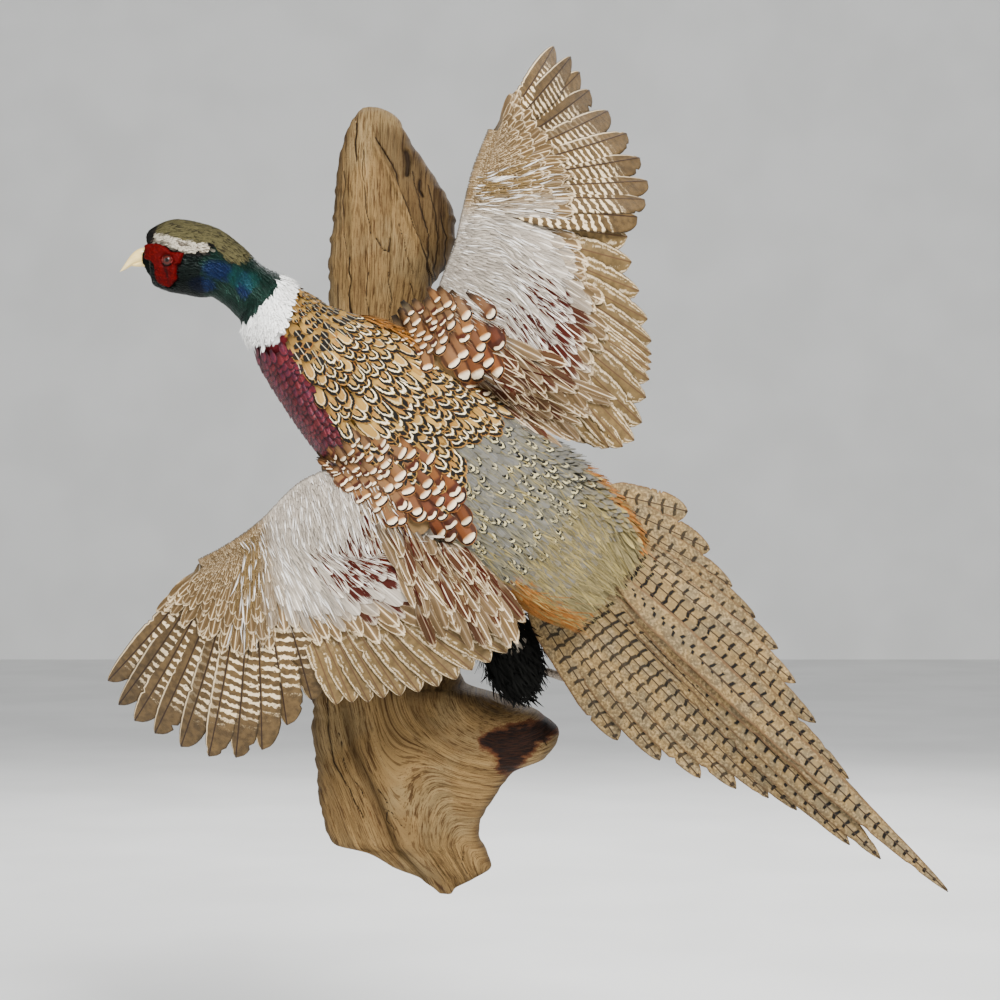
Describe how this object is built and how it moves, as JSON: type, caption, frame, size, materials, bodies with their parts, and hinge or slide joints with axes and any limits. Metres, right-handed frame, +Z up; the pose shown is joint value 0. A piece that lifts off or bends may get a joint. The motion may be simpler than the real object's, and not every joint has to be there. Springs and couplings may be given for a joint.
{
  "type": "taxidermy pheasant wall mount",
  "caption": "Life-size cock ring-necked pheasant in flight, seen from its back, on a driftwood slab that hangs on a wall.",
  "frame": {"origin": "on the flat back of the driftwood, behind the bird's shoulders", "axes": "+X to the right as seen from in front of the wall, +Y into the wall, +Z up"},
  "size_m": [0.7389, 0.2322, 0.7726],
  "materials": {
    "head_feathers": "soft short feathers, olive grey crown over glossy dark green",
    "neck_feathers": "glossy dark green and blue feathers with a white collar",
    "body_feathers": "golden and maroon feathers with black and cream marks, blue grey rump",
    "bill_horn": "smooth pale horn",
    "eye_glass": "polished dark taxidermy glass",
    "red_face_skin": "red pimpled skin, matt",
    "wing_coverts": "soft grey and brown feathers",
    "flight_feathers": "brown feathers barred with cream",
    "tail_feathers": "buff feathers barred with black",
    "dark_down": "black soft feathers",
    "foot_scales": "dry grey brown scales",
    "claw_horn": "dark horn",
    "driftwood": "weathered, waxed, open cracks along the grain",
    "steel": "plain steel"
  },
  "bodies": {
    "root": {"head": "head_feathers", "neck": "neck_feathers", "trunk": "body_feathers", "bill_upper": "bill_horn", "bill_lower": "bill_horn", "eye_left": "eye_glass", "eye_right": "eye_glass", "wattle_left": "red_face_skin", "wattle_right": "red_face_skin", "wing_left_arm": "wing_coverts", "wing_right_arm": "wing_coverts", "wing_left_primaries": "flight_feathers", "wing_right_primaries": "flight_feathers", "wing_left_secondaries": "flight_feathers", "wing_right_secondaries": "flight_feathers", "tail_right": "tail_feathers", "tail_centre": "tail_feathers", "tail_left": "tail_feathers", "thigh_left": "dark_down", "thigh_right": "dark_down", "foot_left": "foot_scales", "foot_right": "foot_scales", "driftwood": "driftwood", "hanger": "steel", "mount_rod_upper": "steel", "mount_rod_lower": "steel", "claw_left_1": "claw_horn", "claw_left_2": "claw_horn", "claw_left_3": "claw_horn", "claw_left_4": "claw_horn", "claw_right_1": "claw_horn", "claw_right_2": "claw_horn", "claw_right_3": "claw_horn", "claw_right_4": "claw_horn"}
  },
  "joints": []
}
